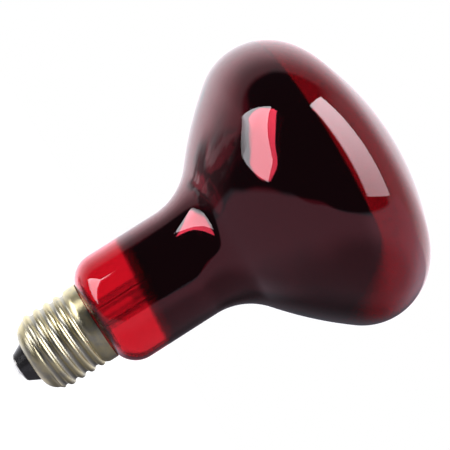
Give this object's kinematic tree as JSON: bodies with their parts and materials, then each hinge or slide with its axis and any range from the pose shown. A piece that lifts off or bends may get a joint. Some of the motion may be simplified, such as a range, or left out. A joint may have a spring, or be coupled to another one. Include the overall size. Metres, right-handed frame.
{
  "type": "infrared heat lamp bulb",
  "caption": "Reflector heat lamp with a blown ruby glass bulb, mirrored shoulder, clear red neck and a rolled Edison screw cap; it radiates heat forward from its domed face.",
  "frame": {"origin": "tip of the centre contact, on the lamp's axis", "axes": "+Z along the lamp's axis, from the screw cap to the domed face; the side solder is at +X"},
  "size_m": [0.1, 0.1, 0.138],
  "materials": {
    "ruby_glass": "polished",
    "clear_glass": "polished",
    "nickel_wire": "satin",
    "copper_wire": "satin",
    "tungsten": "matte",
    "molybdenum_wire": "satin",
    "nickelled_brass": "satin",
    "base_cement": "matte",
    "black_glass": "gloss",
    "contact_metal": "satin",
    "solder": "satin"
  },
  "bodies": {
    "root": {"glass_bulb": "ruby_glass", "glass_stem": "clear_glass", "inner_lead_right": "nickel_wire", "inner_lead_left": "nickel_wire", "outer_lead_centre": "copper_wire", "outer_lead_side": "copper_wire", "filament": "tungsten", "filament_support_1": "molybdenum_wire", "filament_support_2": "molybdenum_wire", "filament_support_3": "molybdenum_wire", "screw_shell": "nickelled_brass", "base_cement": "base_cement", "base_insulator": "black_glass", "centre_contact": "contact_metal", "centre_solder": "solder", "side_solder": "solder"}
  },
  "joints": []
}
